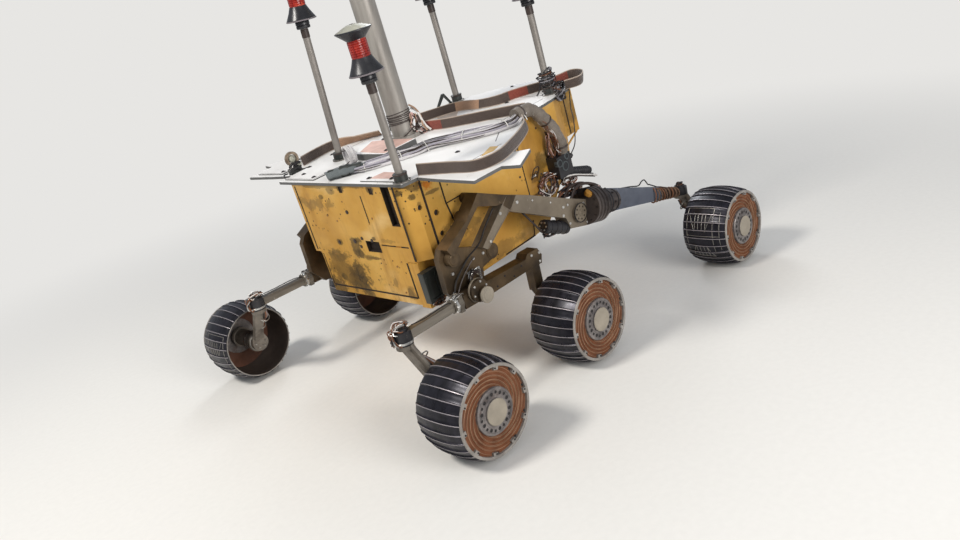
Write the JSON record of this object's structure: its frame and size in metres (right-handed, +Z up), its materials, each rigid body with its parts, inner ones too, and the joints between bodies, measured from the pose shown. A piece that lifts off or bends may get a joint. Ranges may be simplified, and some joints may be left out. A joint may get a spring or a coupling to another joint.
{
  "type": "planetary rover",
  "caption": "Wheeled planetary rover on rocker-bogie suspension with steered corner wheels, a flat instrument deck, mast with camera bar and corner beacon poles.",
  "frame": {"origin": "on the ground midway between the front and rear axles, on the centre plane", "axes": "+X forward, +Y left, +Z up"},
  "size_m": [1.4186, 1.224, 1.4867],
  "materials": {
    "foil_gold": "satin",
    "deck_white": "satin",
    "box_grey": "satin",
    "mast_grey": "matte",
    "camera_white": "satin",
    "pole_grey": "satin",
    "beacon_red": "gloss",
    "beacon_dark": "matte",
    "lift_steel": "brushed",
    "webbing_brown": "woven",
    "harness_grey": "woven",
    "arm_bronze": "satin",
    "arm_bare": "satin",
    "sleeve_brown": "woven",
    "motor_black": "satin",
    "cap_white": "satin",
    "fork_black": "satin",
    "wheel_black": "satin",
    "hub_clay": "matte"
  },
  "bodies": {
    "chassis": {"access_plates": "deck_white", "arm_sleeves": "sleeve_brown", "beacon_bells": "beacon_dark", "beacon_caps": "beacon_dark", "beacon_lamps": "beacon_red", "body_housing": "foil_gold", "bogie_beams": "arm_bronze", "bogie_pivots": "arm_bronze", "bogie_tubes": "arm_bronze", "cable_hank": "harness_grey", "corner_box": "box_grey", "corner_cover": "foil_gold", "corner_poles": "pole_grey", "cross_strap": "webbing_brown", "deck_fittings": "box_grey", "deck_plate": "deck_white", "front_arms": "arm_bare", "front_connectors": "motor_black", "front_sleeve": "sleeve_brown", "front_strap": "webbing_brown", "harness_strands": "harness_grey", "lift_drums": "motor_black", "lift_fittings": "motor_black", "lift_motors": "motor_black", "lifting_ring": "lift_steel", "mast_collar": "mast_grey", "mast_tube": "mast_grey", "middle_legs": "arm_bronze", "nose_struts": "foil_gold", "pivot_caps": "cap_white", "pole_sockets": "pole_grey", "rear_strap": "webbing_brown", "rocker_beams": "arm_bare", "rocker_braces": "arm_bronze", "rocker_feet": "arm_bronze", "rocker_mounts": "arm_bronze", "side_strap": "webbing_brown", "steering_motors": "motor_black"},
    "fork_front_right": {"fork_front_right": "fork_black"},
    "fork_front_left": {"fork_front_left": "fork_black"},
    "fork_rear_right": {"fork_rear_right": "fork_black"},
    "fork_rear_left": {"fork_rear_left": "fork_black"},
    "wheel_front_right": {"wheel_front_right": "wheel_black", "hub_front_right": "hub_clay"},
    "wheel_front_left": {"wheel_front_left": "wheel_black", "hub_front_left": "hub_clay"},
    "wheel_middle_right": {"wheel_middle_right": "wheel_black", "hub_middle_right": "hub_clay"},
    "wheel_middle_left": {"wheel_middle_left": "wheel_black", "hub_middle_left": "hub_clay"},
    "wheel_rear_right": {"wheel_rear_right": "wheel_black", "hub_rear_right": "hub_clay"},
    "wheel_rear_left": {"wheel_rear_left": "wheel_black", "hub_rear_left": "hub_clay"},
    "mast_head": {"mast_pan_head": "mast_grey"},
    "camera_bar": {"camera_bar": "camera_white"}
  },
  "joints": [
    {"name": "steer_front_right", "type": "hinge", "parent": "chassis", "child": "fork_front_right", "pos_m": [0.599, -0.385, 0.2217], "axis": [0, 0, 1], "range_deg": [-45, 45]},
    {"name": "steer_front_left", "type": "hinge", "parent": "chassis", "child": "fork_front_left", "pos_m": [0.599, 0.385, 0.2217], "axis": [0, 0, 1], "range_deg": [-45, 45]},
    {"name": "steer_rear_right", "type": "hinge", "parent": "chassis", "child": "fork_rear_right", "pos_m": [-0.599, -0.35, 0.2617], "axis": [0, 0, 1], "range_deg": [-45, 45]},
    {"name": "steer_rear_left", "type": "hinge", "parent": "chassis", "child": "fork_rear_left", "pos_m": [-0.599, 0.35, 0.2617], "axis": [0, 0, 1], "range_deg": [-45, 45]},
    {"name": "spin_front_right", "type": "hinge", "parent": "fork_front_right", "child": "wheel_front_right", "pos_m": [0.585, -0.53, 0.125], "axis": [0, 1, 0], "continuous": true},
    {"name": "spin_front_left", "type": "hinge", "parent": "fork_front_left", "child": "wheel_front_left", "pos_m": [0.585, 0.53, 0.125], "axis": [0, 1, 0], "continuous": true},
    {"name": "spin_middle_right", "type": "hinge", "parent": "chassis", "child": "wheel_middle_right", "pos_m": [-0.113, -0.479, 0.125], "axis": [0, 1, 0], "continuous": true},
    {"name": "spin_middle_left", "type": "hinge", "parent": "chassis", "child": "wheel_middle_left", "pos_m": [-0.113, 0.479, 0.125], "axis": [0, 1, 0], "continuous": true},
    {"name": "spin_rear_right", "type": "hinge", "parent": "fork_rear_right", "child": "wheel_rear_right", "pos_m": [-0.585, -0.53, 0.125], "axis": [0, 1, 0], "continuous": true},
    {"name": "spin_rear_left", "type": "hinge", "parent": "fork_rear_left", "child": "wheel_rear_left", "pos_m": [-0.585, 0.53, 0.125], "axis": [0, 1, 0], "continuous": true},
    {"name": "mast_pan", "type": "hinge", "parent": "chassis", "child": "mast_head", "pos_m": [-0.11725, 0.108, 1.36501], "axis": [-0.061, 0, 0.9981], "range_deg": [-180, 180]},
    {"name": "camera_tilt", "type": "hinge", "parent": "mast_head", "child": "camera_bar", "pos_m": [-0.12287, 0.108, 1.45684], "axis": [0, 1, 0], "range_deg": [-60, 60]}
  ]
}
